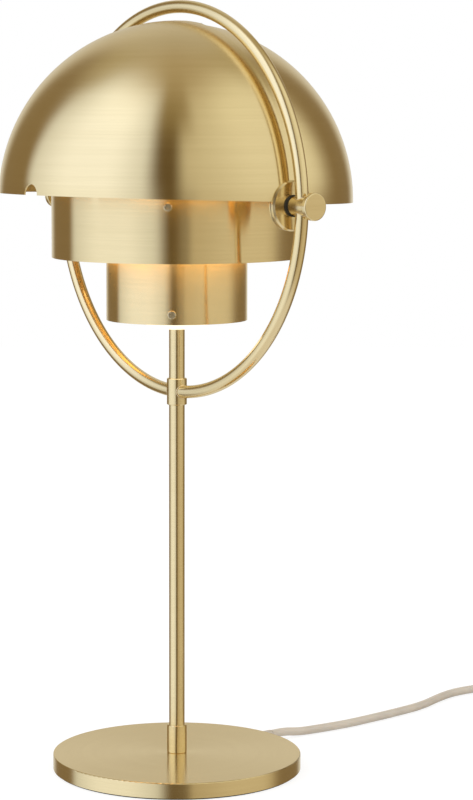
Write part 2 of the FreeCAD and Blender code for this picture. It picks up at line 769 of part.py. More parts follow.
core_top = body_low + s.core_thickness
cap_low = core_top + s.contact_height
bulb_low = cap_low + s.cap_tip_height
shell_radius = s.cap_radius + s.cap_room


def make_holder():
    cap_radius = s.holder_body_radius - s.holder_cap_step
    inside = cap_radius - s.holder_wall
    keep("holder_cap", turned("holder_cap", [
        (s.stem_radius, 0), (s.holder_cap_low_radius, 0), (cap_radius, s.holder_cap_cone),
        (cap_radius, s.holder_cap_height), (inside, s.holder_cap_height),
        (inside, s.holder_cap_cone + s.holder_wall), (s.holder_cap_low_radius - s.holder_wall, s.holder_wall),
        (s.stem_radius, s.holder_wall)], z=holder_low))
    shoulder_top = s.holder_shoulder_height
    shoulder_low = shoulder_top - s.holder_shoulder_thickness
    shoulder_radius = s.holder_body_radius + s.holder_shoulder_lip
    body_inside = s.holder_body_radius - s.holder_wall
    keep("holder_body", turned("holder_body", [
        (body_inside, 0), (s.holder_body_radius, 0), (s.holder_body_radius, shoulder_low),
        (shoulder_radius, shoulder_low), (shoulder_radius, shoulder_top),
        (s.holder_body_radius, shoulder_top), (s.holder_body_radius, s.holder_body_height),
        (body_inside, s.holder_body_height)], z=body_low))
    keep("holder_ring", turned("holder_ring", chamfered_outline(
        s.holder_body_radius, s.holder_body_radius + s.holder_ring_wall, 0, s.holder_ring_height,
        s.collar_chamfer), z=upper_spider_level + s.spider_plate))
    keep("holder_core", turned("holder_core", [
        (0, 0), (body_inside, 0), (body_inside, s.core_thickness), (0, s.core_thickness)], z=body_low))
    keep("holder_contact", turned("holder_contact", [
        (0, 0), (s.contact_radius, 0), (s.contact_radius, s.contact_height), (0, s.contact_height)],
        z=core_top))
    keep("holder_shell", turned("holder_shell", ring_outline(
        shell_radius, shell_radius + s.shell_wall, 0, s.shell_height), z=core_top))


def make_bulb():
    keep("bulb_cap", turned("bulb_cap", [
        (0, 0), (s.cap_tip_radius, 0), (s.cap_radius, s.cap_tip_height),
        (s.cap_radius, s.cap_tip_height + s.cap_height), (0, s.cap_tip_height + s.cap_height)], z=cap_low))
    housing_low = bulb_low + s.cap_height
    keep("bulb_housing", turned("bulb_housing", [
        (0, 0), (s.housing_low_radius, 0), (s.globe_neck_radius, s.housing_height), (0, s.housing_height)],
        z=housing_low))
    # The globe is a sphere cut off at its neck, drawn in two arcs of less than half a turn.
    below = leg(s.globe_radius, s.globe_neck_radius)
    hollow = s.globe_radius - s.globe_wall
    neck_inside = leg(hollow, below)
    keep("bulb_globe", turned("bulb_globe", [
        (s.globe_neck_radius, 0), (s.globe_radius, below, s.globe_radius, "right"),
        (0, below + s.globe_radius, s.globe_radius, "right"), (0, below + hollow),
        (hollow, below, hollow, "left"), (neck_inside, 0, hollow, "left")],
        z=housing_low + s.housing_height))


# ---------------------------------------------------------------- lead inside the lamp

lead_way = Vector(math.cos(math.radians(s.lead_angle.value)), math.sin(math.radians(s.lead_angle.value)), 0)
sheath_end = s.base_radius - s.sheath_inset
gland_start = s.base_radius - s.gland_inset
gland_end = gland_start + s.gland_length


def on_lead(distance):
    """The place on the lead's line out of the base, at a distance from the lamp's axis."""
    return {"x": distance * cosine(s.lead_angle), "y": distance * sine(s.lead_angle), "z": lead_height,
            "turn": outward(s.lead_angle)}


def swept(wire, radius):
    """A round bar along a wire, and how its volume compares with its section times its length."""
    start = wire.OrderedEdges[0]
    first = start.valueAt(start.FirstParameter)
    way = start.tangentAt(start.FirstParameter)
    section = Part.Wire([Part.makeCircle(radius, first, way)])
    shape = wire.makePipeShell([section], True, False)
    return shape, shape.Volume / (math.pi * radius ** 2 * wire.Length)


def shaped(node, shape):
    """A sub-part whose shape is worked out here from the sheet's sizes."""
    thing = doc.addObject("Part::Feature", node)
    thing.Shape = shape
    thing.Placement = FreeCAD.Placement()
    return keep(node, thing)


def core_wire(aside):
    """One insulated core: level along the channel, a quarter turn, then up the stem."""
    across = Vector(-lead_way.y, lead_way.x, 0) * aside
    bend = s.core_wire_bend.value
    low = core_wire_height.value
    height = Z_AXIS * low
    points = [lead_way * sheath_end.value, lead_way * bend, Z_AXIS * bend, Z_AXIS * (body_low.value - low)]
    start, turn_in, turn_out, end = [across + height + point for point in points]
    middle = across + height + (lead_way + Z_AXIS) * (bend * (1 - math.sqrt(0.5)))
    edges = [Part.LineSegment(start, turn_in), Part.Arc(turn_in, middle, turn_out),
             Part.LineSegment(turn_out, end)]
    return swept(Part.Wire([edge.toShape() for edge in edges]), s.core_wire_radius.value)[0]


def make_inner_lead():
    keep("inner_cord", turned("inner_cord", [
        (0, 0), (s.cord_radius, 0), (s.cord_radius, gland_end - sheath_end), (0, gland_end - sheath_end)],
        **on_lead(sheath_end)))
    stop_start = s.base_radius - s.stop_inset
    keep("cord_stop", turned("cord_stop", ring_outline(
        s.cord_radius, s.cord_radius + s.stop_wall, 0, s.stop_length), **on_lead(stop_start)))
    flange = leg(cover_inside, gland_flange_radius) - gland_start
    neck_end = s.gland_inset
    keep("cord_gland", turned("cord_gland", [
        (s.cord_radius, 0), (gland_flange_radius, 0), (gland_flange_radius, flange),
        (gland_neck_radius, flange), (gland_neck_radius, neck_end),
        (s.cord_radius + s.gland_boss_wall, neck_end),
        (s.cord_radius + s.gland_tip_wall, s.gland_length), (s.cord_radius, s.gland_length)],
        **on_lead(gland_start)))
    spread = s.core_wire_spread.value
    shaped("lead_cores", Part.Compound([core_wire(spread), core_wire(-spread)]))


# ---------------------------------------------------------------- free lead


def smooth_route(points):
    """Straight runs joined by arcs as large as their runs allow, and the arcs' radii."""
    share = 0.45
    edges, radii = [], []
    here = points[0]
    for before, corner, after in zip(points, points[1:], points[2:]):
        way_in, way_out = (corner - before).normalize(), (after - corner).normalize()
        half_turn = way_in.getAngle(way_out) / 2
        cut_back = share * min((corner - before).Length, (after - corner).Length)
        start, end = corner - way_in * cut_back, corner + way_out * cut_back
        radius = cut_back / math.tan(half_turn)
        inward = (way_out - way_in).normalize()
        middle = corner + inward * (radius / math.cos(half_turn) - radius)
        edges += [Part.LineSegment(here, start), Part.Arc(start, middle, end)]
        radii.append(radius)
        here = end
    edges.append(Part.LineSegment(here, points[-1]))
    return Part.Wire([edge.toShape() for edge in edges]), radii


def make_stretch(node, points):
    wire, radii = smooth_route(points)
    shape, likeness = swept(wire, s.cord_radius.value)
    shaped(node, shape)
    print(f"{node}: length {wire.Length:.1f}, least radius {min(radii):.1f}, volume share {likeness:.4f}")
    print("  radii", [round(radius, 1) for radius in radii])
    return wire.Length


def half_turn_radii():
    """The radius of each half turn: in on the lower layer, the climb, and out again on the upper one."""
    step = s.coil_pitch.value / 2
    inwards = [s.coil_start_radius.value - step * number for number in range(LOWER_HALF_TURNS)]
    return inwards + [inwards[-1] - step] + inwards[::-1] + [inwards[0] + step]


def coil_wire(low):
    """The coil's centre line: a straight end, half turns in two layers, and a straight end."""
    straight = s.cord_radius.value * 2
    rise = s.coil_pitch.value
    here = Vector((s.coil_x + s.coil_start_radius).value, s.coil_y.value, low)
    way = Vector(0, -1, 0)
    edges = [Part.LineSegment(here - way * straight, here)]
    line = [here - way * straight]
    side = Vector(-1, 0, 0)
    for number, radius in enumerate(half_turn_radii()):
        climb = rise if number == LOWER_HALF_TURNS else 0
        end = here + side * (radius * 2) + Z_AXIS * climb
        centre = (here + end) * 0.5
        arm = here - centre
        angles = [math.pi / (EIGHTH * 4) * step for step in range(EIGHTH * 4 + 1)]
        spots = [centre + arm * math.cos(angle) + way * arm.Length * math.sin(angle) for angle in angles]
        stops = spots[::EIGHTH]
        edges += [Part.Arc(*stops[:3]), Part.Arc(*stops[2:])]
        line += spots[1:]
        here, way, side = end, -way, -side
    edges.append(Part.LineSegment(here, here + way * straight))
    line.append(here + way * straight)
    return Part.Wire([edge.toShape() for edge in edges]), line


def least_gap(line, diameter):
    """The smallest space between turns, measured between points along the centre line."""
    lengths = [0.0]
    for before, after in zip(line, line[1:]):
        lengths.append(lengths[-1] + (after - before).Length)
    apart = diameter * 4
    gaps = [(a - line[j]).Length - diameter for i, a in enumerate(line) for j in range(i)
            if lengths[i] - lengths[j] > apart]
    return min(gaps)


def make_tie(side, radii, centre_shift, top):
    """A thin band round all the turns at the front or the back of the coil, where their centres lie up to
    centre_shift to either side of the band's own line."""
    wall, room, width = s.tie_wall.value, s.tie_room.value, s.tie_width.value
    reach = s.cord_radius.value + room
    inner = math.sqrt(min(radii) ** 2 - (width / 2 + centre_shift) ** 2) - reach
    outer = max(radii) + reach
    bands = []
    for extra in (wall, 0.0):
        low = wall - extra
        span = outer - inner + extra * 2
        y = s.coil_y.value + (inner - extra if side == "back" else -(outer + extra))
        corner = Vector(s.coil_x.value - s.coil_pitch.value / 2 - width / 2, y, low)
        bands.append(Part.makeBox(width, span, top + room + extra - low, corner))
    shaped(f"cord_tie_{side}", bands[0].cut(bands[1]))


def make_coil():
    radius = s.cord_radius.value
    low = (s.tie_wall + s.tie_room + s.cord_radius).value
    wire, line = coil_wire(low)
    shape, likeness = swept(wire, radius)
    shaped("cord_coil", shape)
    radii = half_turn_radii()
    across = sum(radii) / len(radii) * 2
    print(f"cord_coil: length {wire.Length:.1f}, turns {len(radii) / 2}, least radius {min(radii):.1f}, "
          f"{across / radius / 2:.1f} diameters across, volume share {likeness:.4f}, "
          f"least gap {least_gap(line, radius * 2):.3f}")
    top = low + s.coil_pitch.value + radius
    make_tie("front", radii[0::2], s.coil_pitch.value / 2, top)
    make_tie("back", radii[1::2], 0.0, top)
    return wire.Length


def make_free_lead():
    exit_point = lead_way * gland_end.value + Z_AXIS * lead_height.value
    first = exit_point + lead_way * s.lead_straight.value
    lead = make_stretch("cord_lead", [exit_point, first] + [Vector(*spot) for spot in LEAD_ROUTE])
    link = make_stretch("cord_link", [Vector(*spot) for spot in LINK_ROUTE])
    tail = make_stretch("cord_tail", [Vector(*spot) for spot in TAIL_ROUTE])
    coil = make_coil()
    print(f"free lead {lead:.1f}, past the switch {link + coil + tail:.1f}")


# ---------------------------------------------------------------- switch and plug


def switch_outline():
    return rounded_outline(0, s.switch_length, 0, s.switch_width, s.switch_corner)


def switch_space(name, height, **spot):
    wall = s.switch_wall
    return box(name, s.switch_length - wall * 4, s.switch_width - wall * 2, height,
               x=s.switch_x + wall * 2, y=switch_low_y + wall, **spot)


switch_low_y = s.switch_y - s.switch_width / 2
slot_x = s.switch_x + (s.switch_length - s.switch_slot_length) / 2
slot_y = s.switch_y - s.switch_slot_width / 2


def make_switch():
    wall = s.switch_wall
    base = slab("switch_base_blank", switch_outline(), s.switch_split, x=s.switch_x, y=switch_low_y)
    keep("switch_base", cut("switch_base", base, switch_space("switch_base_space", s.switch_height, z=wall)))
    cover = slab("switch_cover_blank", switch_outline(), s.switch_height - s.switch_split, x=s.switch_x,
                 y=switch_low_y, z=s.switch_split)
    ceiling = s.switch_height - wall
    space = switch_space("switch_cover_space", ceiling - wall, z=wall)
    slot = box("switch_slot", s.switch_slot_length, s.switch_slot_width, s.switch_height, x=slot_x, y=slot_y,
               z=s.switch_split)
    keep("switch_cover", cut("switch_cover", cover, space, slot))
    # The slider's foot runs under the cover, and its thumb piece stands up through the slot.
    thumb_low = ceiling - s.slider_foot_room
    thumb = box("slider_thumb", s.slider_length, s.switch_slot_width - s.slider_room * 2,
                s.switch_height + s.slider_rise - thumb_low, x=slot_x + s.slider_end_room,
                y=slot_y + s.slider_room, z=thumb_low)
    foot = box("slider_foot", s.slider_length + s.slider_foot_lip * 2,
               s.switch_slot_width + s.slider_foot_lip * 2, s.slider_foot_wall,
               x=slot_x + s.slider_end_room - s.slider_foot_lip, y=slot_y - s.slider_foot_lip,
               z=thumb_low - s.slider_foot_wall)
    keep("switch_slider", joined("switch_slider", thumb, foot))


def plug_section(name, distance, width, height, corner):
    """A rounded outline across the plug, at a distance from its cord end."""
    sketch = doc.addObject("Sketcher::SketchObject", name)
    draw(sketch, rounded_outline(-(width / 2), width / 2, -(height / 2), height / 2, corner))
    return put(sketch, x=s.plug_x, y=s.plug_y - distance, z=s.plug_height / 2,
               turn=FreeCAD.Rotation(Vector(1, 0, 0), 90))


def make_plug():
    body = doc.addObject("Part::Loft", "plug_body")
    body.Sections = [
        plug_section("plug_tail_section", sized(0), s.plug_tail, s.plug_tail, s.plug_tail_corner),
        plug_section("plug_shoulder_section", s.plug_taper, s.plug_width, s.plug_height, s.plug_corner),
        plug_section("plug_face_section", s.plug_length, s.plug_width, s.plug_height, s.plug_corner)]
    body.Solid = True
    body.Ruled = True
    pins = []
    for number, side in enumerate((-1, 1)):
        x = s.plug_x + s.pin_spacing / 2 * side
        pin = turned(f"plug_pin_{number}", [
            (0, 0), (s.pin_radius, 0), (s.pin_radius, s.pin_length - s.pin_round),
            (s.pin_radius - s.pin_round, s.pin_length, s.pin_round, "right"), (0, s.pin_length)],
            x=x, y=s.plug_y - s.plug_length, z=s.plug_height / 2,
            turn=FreeCAD.Rotation(Vector(1, 0, 0), 90))
        pins.append(pin)
    keep("plug_body", body)
    keep("plug_pins", group("plug_pins", pins))


# ---------------------------------------------------------------- build, check and write


def check(things):
    for thing in things:
        troubles = [state for state in thing.State if state in ("Invalid", "Error")]
        if troubles:
            raise RuntimeError(f"{thing.Label} did not build: {troubles}")


def write():
    os.makedirs("parts", exist_ok=True)
    for node, thing in parts.items():
        shape = thing.Shape
        if shape.isNull() or not shape.isValid() or not shape.Solids:
            raise RuntimeError(f"{node} is not a valid solid")
        shape.exportStep(f"parts/{node}.step")
        print(f"{node}: {len(shape.Solids)} solid(s), {shape.Volume / 1000:.2f} cm3")


make_base()
make_stem()
for side in TO_SIDE:
    make_pivot(side)
make_ring()
make_shades()
make_cylinders()
make_diffuser()
make_holder()
make_bulb()
make_inner_lead()
make_free_lead()
make_switch()
make_plug()
doc.recompute()
check(doc.Objects)
write()
print(len(parts), "sub-parts")
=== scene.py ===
import math

import bmesh
import bpy
from mathutils import Matrix, Vector


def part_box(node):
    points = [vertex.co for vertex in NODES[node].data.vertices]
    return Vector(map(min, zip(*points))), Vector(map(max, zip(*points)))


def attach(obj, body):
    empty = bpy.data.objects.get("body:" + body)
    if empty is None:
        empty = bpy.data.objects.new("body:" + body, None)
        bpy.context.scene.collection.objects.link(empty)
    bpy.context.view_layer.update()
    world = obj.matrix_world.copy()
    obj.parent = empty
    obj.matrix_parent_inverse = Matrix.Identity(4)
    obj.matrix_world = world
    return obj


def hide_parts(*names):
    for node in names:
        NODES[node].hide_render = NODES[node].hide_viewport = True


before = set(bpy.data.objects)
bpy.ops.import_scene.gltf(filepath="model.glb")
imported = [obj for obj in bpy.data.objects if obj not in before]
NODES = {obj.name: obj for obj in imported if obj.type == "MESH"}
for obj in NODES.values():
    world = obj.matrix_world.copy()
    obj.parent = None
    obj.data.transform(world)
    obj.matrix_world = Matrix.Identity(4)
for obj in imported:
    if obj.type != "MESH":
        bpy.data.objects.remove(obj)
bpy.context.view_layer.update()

# Brass desk lamp on a white studio floor. Metres, in the frame of the CAD model.

MM = 0.001

# The camera stands CAMERA_DISTANCE from the lamp's axis, in plan, at this angle from -Y towards +X.
AZIMUTH = math.radians(52.13)
CAMERA_DISTANCE = 1.660
CAMERA_HEIGHT = 0.4324
CAMERA_TILT = 0.1134
FOCAL = 116.15
SENSOR_WIDTH = 36
SHIFT_X = 0.0745
PIVOT_HEIGHT = 372.2
RING_RADIUS = 123.1
TUBE_RADIUS = 4.1
TO_CAMERA = Vector((math.sin(AZIMUTH), -math.cos(AZIMUTH), 0))
TO_RIGHT = Vector((math.cos(AZIMUTH), math.sin(AZIMUTH), 0))


# ---------------------------------------------------------------- camera

camera_data = bpy.data.cameras.new("camera")
camera = bpy.data.objects.new("camera", camera_data)
bpy.context.collection.objects.link(camera)
camera.location = TO_CAMERA * CAMERA_DISTANCE + Vector((0, 0, CAMERA_HEIGHT))
camera.rotation_euler = (math.pi / 2 - CAMERA_TILT, 0, AZIMUTH)
camera_data.lens = FOCAL
camera_data.sensor_width = SENSOR_WIDTH
camera_data.shift_x = SHIFT_X
camera_data.clip_end = 20
bpy.context.scene.camera = camera


# ---------------------------------------------------------------- node helpers

class Tree:
    """A short way to add and link shader nodes."""

    def __init__(self, tree):
        self.tree = tree
        tree.nodes.clear()

    def add(self, kind, inputs=None, **settings):
        node = self.tree.nodes.new(kind)
        for name, value in settings.items():
            setattr(node, name, value)
        for name, value in (inputs or {}).items():
            socket = node.inputs[name]
            if isinstance(value, bpy.types.NodeSocket):
                self.tree.links.new(value, socket)
            else:
                socket.default_value = value
        return node

    def math(self, operation, first, second=0.0, third=0.0):
        return self.add("ShaderNodeMath", {0: first, 1: second, 2: third}, operation=operation).outputs[0]

    def dot(self, vector, other):
        node = self.add("ShaderNodeVectorMath", {0: vector, 1: other}, operation="DOT_PRODUCT")
        return node.outputs["Value"]

    def times(self, value, factor):
        return self.math("MULTIPLY", value, factor)

    def reach(self, first, second):
        """The length of a flat vector with these two parts."""
        squares = self.math("ADD", self.math("POWER", first, 2.0), self.math("POWER", second, 2.0))
        return self.math("SQRT", squares)

    def combine(self, x, y, z):
        return self.add("ShaderNodeCombineXYZ", {0: x, 1: y, 2: z}).outputs[0]

    def choose(self, share, first, second):
        """The first shader where share is 0, and the second where it is 1."""
        return self.add("ShaderNodeMixShader", {0: share, 1: first.outputs[0], 2: second.outputs[0]})

    def span(self, value, low, high, out_low=0.0, out_high=1.0):
        """A smooth step of value between low and high."""
        return self.add("ShaderNodeMapRange", {0: value, 1: low, 2: high, 3: out_low, 4: out_high},
                        interpolation_type="SMOOTHSTEP").outputs[0]

    def mix(self, share, first, second, blend="MIX"):
        node = self.add("ShaderNodeMix", data_type="RGBA", blend_type=blend)
        for socket, value in zip((node.inputs[0], node.inputs[6], node.inputs[7]), (share, first, second)):
            if isinstance(value, bpy.types.NodeSocket):
                self.tree.links.new(value, socket)
            elif socket.type == "RGBA":
                socket.default_value = (*value, 1)
            else:
                socket.default_value = value
        return node.outputs[2]

    def noise(self, vector, scale, detail=2.0, roughness=0.5):
        return self.add("ShaderNodeTexNoise", {"Vector": vector, "Scale": scale, "Detail": detail,
                                               "Roughness": roughness}).outputs["Fac"]


def new_material(name):
    material = bpy.data.materials.new(name)
    material.use_nodes = True
    tree = Tree(material.node_tree)
    shader = tree.add("ShaderNodeBsdfPrincipled")
    tree.add("ShaderNodeOutputMaterial", {"Surface": shader.outputs[0]})
    return material, tree, shader


def feed(tree, shader, **inputs):
    """Set or link the shader's inputs by name, with underscores for spaces."""
    for name, value in inputs.items():
        socket = shader.inputs[name.replace("_", " ")]
        if isinstance(value, bpy.types.NodeSocket):
            tree.tree.links.new(value, socket)
        elif socket.type == "RGBA":
            socket.default_value = (*value, 1)
        else:
            socket.default_value = value


# ---------------------------------------------------------------- world, floor and lamps

# What the metal mirrors besides the lamp: large pale panels in a dark warm room, with the pale ground behind
# the lamp. Three belts describe it: near the table's level, at a middle height and high up. A panel has the
# angles, from the camera's side round to its right, where it starts, is full, stops being full and ends, and
# its colour. The second of a pair is the panel's brighter middle. The ground has its angles from that side.
BELTS = [
    {"gap": (.15, .10, .036), "room": (.245, .178, .095), "ground": (147, 166, (.72, .69, .61)),
     "panels": [(-116, -105, -20, -5, (.74, .77, .79)), (-118, -72, -50, -10, (1.00, 1.04, 1.09)),
                (7, 17, 94, 113, (.50, .42, .27)), (9, 60, 85, 104, (.64, .56, .40))]},
    {"gap": (.13, .085, .03), "room": (.27, .20, .105), "ground": (145, 163, (.66, .61, .50)),
     "panels": [(-118, -106, -25, -10, (.80, .84, .90)), (-119, -72, -50, -14, (1.16, 1.24, 1.42)),
                (-4, 8, 104, 130, (.66, .61, .47)), (0, 60, 98, 118, (.88, .85, .72))]},
    {"gap": (.29, .22, .10), "room": (.44, .37, .215), "ground": (145, 163, (.52, .47, .37)),
     "panels": [(-115, -100, -30, -10, (.80, .84, .90)), (-115, -72, -50, -14, (1.26, 1.34, 1.50)),
                (6, 22, 96, 122, (.66, .61, .47)), (12, 60, 90, 116, (.90, .87, .72))]},
]
BELT_EDGES = ((-3, 7), (34, 58))
CEILING = (.47, .39, .25)
FLOOR_MIRRORED = (.80, .78, .74)
# In degrees: how far from the camera's side the gap gives way to the room, and at which heights the belts
# give way to the ceiling and to the floor.
GAP_ANGLES = (15, 60)
CEILING_HEIGHTS = (56, 84)
FLOOR_HEIGHTS = (-30, -55)
# Colours are stored divided by the gain, which brings them all under 1.
GAIN = 1.6
PLAIN_LIGHT = 0.8
WHITE = (1, 1, 1, 1)


def make_world():
    world = bpy.data.worlds.new("studio")
    bpy.context.scene.world = world
    world.use_nodes = True
    tree = Tree(world.node_tree)
    way = tree.add("ShaderNodeTexCoord").outputs["Generated"]
    angle = tree.math("ARCTAN2", tree.dot(way, TO_RIGHT), tree.dot(way, TO_CAMERA))
    aside = tree.math("ABSOLUTE", angle)
    height = tree.math("ARCSINE", tree.dot(way, (0, 0, 1)))

    def dim(colour):
        return [part / GAIN for part in colour]

    def between(value, low, high):
        return tree.span(value, math.radians(low), math.radians(high))

    def belt(gap, room, ground, panels):
        seen = tree.mix(between(aside, *GAP_ANGLES), dim(gap), dim(room))
        for start, full, fading, end, colour in panels:
            share = tree.math("SUBTRACT", between(angle, start, full), between(angle, fading, end))
            seen = tree.mix(share, seen, dim(colour))
        return tree.mix(between(aside, ground[0], ground[1]), seen, dim(ground[2]))

    room = belt(**BELTS[0])
    for edges, above in zip(BELT_EDGES, BELTS[1:]):
        room = tree.mix(between(height, *edges), room, belt(**above))
    room = tree.mix(between(height, *CEILING_HEIGHTS), room, dim(CEILING))
    room = tree.mix(between(height, *FLOOR_HEIGHTS), room, dim(FLOOR_MIRRORED))
    rays = tree.add("ShaderNodeLightPath").outputs
    mirrored = tree.add("ShaderNodeBackground", {"Color": room, "Strength": GAIN})
    plain = tree.add("ShaderNodeBackground", {"Color": WHITE, "Strength": PLAIN_LIGHT})
    white = tree.add("ShaderNodeBackground", {"Color": WHITE, "Strength": 1.0})
    lit = tree.choose(rays["Is Glossy Ray"], plain, mirrored)
    seen = tree.math("MAXIMUM", rays["Is Camera Ray"], rays["Is Transmission Ray"])
    shown = tree.choose(seen, lit, white)
    tree.add("ShaderNodeOutputWorld", {"Surface": shown.outputs[0]})


FLOOR_RADIUS = 3.0
FLOOR_DROP = 0.0002
# The floor's own tone for the lamp's light, and what the camera sees: a little shadow on a ground near white.
FLOOR_TONE = (0.82, 0.82, 0.81, 1)
SHADOW_TONE = (0.26, 0.26, 0.26, 1)
FLOOR_GLOW = 0.80


def make_floor():
    mesh = bpy.data.meshes.new("floor")
    shape = bmesh.new()
    bmesh.ops.create_circle(shape, cap_ends=True, segments=96, radius=FLOOR_RADIUS)
    shape.to_mesh(mesh)
    shape.free()
    floor = bpy.data.objects.new("floor", mesh)
    bpy.context.collection.objects.link(floor)
    floor.location.z = -FLOOR_DROP
    material = bpy.data.materials.new("floor")
    material.use_nodes = True
    tree = Tree(material.node_tree)
    rays = tree.add("ShaderNodeLightPath").outputs
    plain = tree.add("ShaderNodeBsdfDiffuse", {"Color": FLOOR_TONE})
    shade = tree.add("ShaderNodeBsdfDiffuse", {"Color": SHADOW_TONE})
    glow = tree.add("ShaderNodeEmission", {"Color": WHITE, "Strength": FLOOR_GLOW})
    pale = tree.add("ShaderNodeAddShader", {0: shade.outputs[0], 1: glow.outputs[0]})
    seen = tree.choose(rays["Is Camera Ray"], plain, pale)
    clear = tree.add("ShaderNodeBsdfTransparent")
    mirrored = tree.choose(rays["Is Glossy Ray"], seen, clear)
    tree.add("ShaderNodeOutputMaterial", {"Surface": mirrored.outputs[0]})
    mesh.materials.append(material)


LAMP_TARGET = Vector((0, 0, 0.15))


def make_lamp(name, aside, forward, up, size, power):
    """A round lamp, placed by metres to the camera's right, towards the camera and up."""
    place = TO_RIGHT * aside + TO_CAMERA * forward + Vector((0, 0, up))
    data = bpy.data.lights.new(name, "AREA")
    data.shape = "DISK"
    data.size = size
    data.energy = power
    lamp = bpy.data.objects.new(name, data)
    bpy.context.collection.objects.link(lamp)
    lamp.location = place
    lamp.rotation_euler = (LAMP_TARGET - place).to_track_quat("-Z", "Y").to_euler()
    lamp.visible_glossy = False
    lamp.visible_camera = False


make_world()
make_floor()
make_lamp("key", -1.4, 0.9, 1.5, 1.2, 12)
make_lamp("fill", 1.6, 0.6, 1.3, 1.4, 7)


# ---------------------------------------------------------------- materials

BRASS = (0.84, 0.70, 0.42)
# The tangent runs along the brushed lines, and a quarter turn lays the highlight's long side across them.
QUARTER_TURN = 0.25
# Brushed lines to the metre, across them, and to the radian, along them.
TURNED_LINES = (900.0, 1.2)
RING_LINES = (800.0, 6.0)
# Colour, strength and edge width, in millimetres, of painted bulb light: an emission on the upper cylinder's
# inside that stands in for the bulb's warm light falling there.
BULB_LIGHT = (1.0, 0.58, 0.20)
BULB_STRENGTH = 1.4
LIT_EDGE = 0.2


def make_brass(name, rough, stretch, line="round", lit=None):
    """Satin brass, brushed in fine lines round the lamp's axis or round the ring. What lies nearer the axis
    than lit, in millimetres, glows as if the bulb lit it."""
    material, tree, shader = new_material(name)
    here = tree.add("ShaderNodeTexCoord").outputs["Object"]
    spot = tree.add("ShaderNodeSeparateXYZ", {0: here}).outputs
    across = tree.reach(spot[0], spot[1])
    if line == "round":
        turn = tree.math("ARCTAN2", spot[1], spot[0])
        fine_lines, along = TURNED_LINES
        rows = tree.combine(tree.times(turn, along), tree.times(spot[2], fine_lines),
                            tree.times(across, fine_lines))
        way = tree.combine(tree.times(spot[1], -1.0), spot[0], 0.0)
    else:
        level = tree.math("SUBTRACT", spot[2], PIVOT_HEIGHT * MM)
        turn = tree.math("ARCTAN2", level, spot[0])
        reach = tree.reach(spot[0], level)
        fine_lines, along = RING_LINES
        rows = tree.combine(tree.times(turn, along), tree.times(reach, fine_lines),
                            tree.times(spot[1], fine_lines))
        way = tree.combine(tree.times(level, -1.0), 0.0, spot[0])
    way = tree.add("ShaderNodeVectorTransform", {0: way}, vector_type="VECTOR", convert_from="OBJECT",
                   convert_to="WORLD").outputs[0]
    way = tree.add("ShaderNodeVectorMath", {0: way}, operation="NORMALIZE").outputs[0]
    fine = tree.noise(rows, 1.0, 3.0, 0.6)
    broad = tree.noise(rows, 0.22, 2.0)
    cloud = tree.noise(here, 22.0, 3.0)
    brushed = tree.math("ADD", tree.times(fine, 0.6), tree.times(broad, 0.4))
    darker = [c * d for c, d in zip(BRASS, (0.965, 0.955, 0.93))]
    lighter = [c * 1.02 for c in BRASS]
    shade = tree.mix(tree.span(brushed, 0.25, 0.75), darker, lighter)
    shade = tree.mix(tree.span(cloud, 0.3, 0.7, 0.0, 0.06), shade, [c * 0.9 for c in BRASS])
    spread = tree.math("MULTIPLY_ADD", brushed, 0.04, rough - 0.02)
    feed(tree, shader, Base_Color=shade, Metallic=1.0, Roughness=spread, Anisotropic=stretch,
         Anisotropic_Rotation=QUARTER_TURN, Tangent=way)
    if lit:
        feed(tree, shader, Emission_Color=BULB_LIGHT,
             Emission_Strength=tree.span(across, (lit - LIT_EDGE) * MM, lit * MM, BULB_STRENGTH, 0.0))
    return material


def make_plastic(name, colour, rough=0.4, coat=0.0, grain=900.0, depth=0.00002, vary=0.06, through=0.0):
    """Moulded plastic with a fine grain and a slightly uneven tone."""
    material, tree, shader = new_material(name)
    here = tree.add("ShaderNodeTexCoord").outputs["Object"]
    cloud = tree.noise(here, 60.0, 3.0)
    fine = tree.noise(here, grain, 2.0)
    darker = [c * (1 - vary) for c in colour]
    lighter = [min(1, c * (1 + vary)) for c in colour]
    shade = tree.mix(tree.span(cloud, 0.3, 0.7), darker, lighter)
    spread = tree.math("MULTIPLY_ADD", fine, 0.14, rough - 0.07)
    bump = tree.add("ShaderNodeBump", {"Strength": 0.35, "Distance": depth, "Height": fine})
    feed(tree, shader, Base_Color=shade, Roughness=spread, Normal=bump.outputs[0])
    shader.inputs["Coat Weight"].default_value = coat
    shader.inputs["Coat Roughness"].default_value = 0.15
    shader.inputs["Subsurface Weight"].default_value = through
    shader.inputs["Subsurface Radius"].default_value = (0.004, 0.003, 0.002)
    return material


def make_metal(name, colour, rough, grain=400.0):
    """Plain turned or plated metal."""
    material, tree, shader = new_material(name)
    here = tree.add("ShaderNodeTexCoord").outputs["Object"]
    cloud = tree.noise(here, grain, 3.0)
    shade = tree.mix(tree.span(cloud, 0.3, 0.7), [c * 0.88 for c in colour], colour)
    spread = tree.math("MULTIPLY_ADD", cloud, 0.16, rough - 0.08)
    feed(tree, shader, Base_Color=shade, Metallic=1.0, Roughness=spread)
    return material


def make_glow(name, colour, light, strength, rough=0.35):
    """An opal surface that is lit from inside."""
    material, tree, shader = new_material(name)
    here = tree.add("ShaderNodeTexCoord").outputs["Object"]
    cloud = tree.noise(here, 45.0, 2.0)
    shade = tree.mix(tree.span(cloud, 0.3, 0.7), [c * 0.96 for c in colour], colour)
    warm = tree.mix(tree.span(cloud, 0.3, 0.7), [c * 0.97 for c in light], light)
    spread = tree.math("MULTIPLY_ADD", cloud, 0.08, rough - 0.04)
    feed(tree, shader, Base_Color=shade, Roughness=spread, Emission_Color=warm, Emission_Strength=strength)
    return material


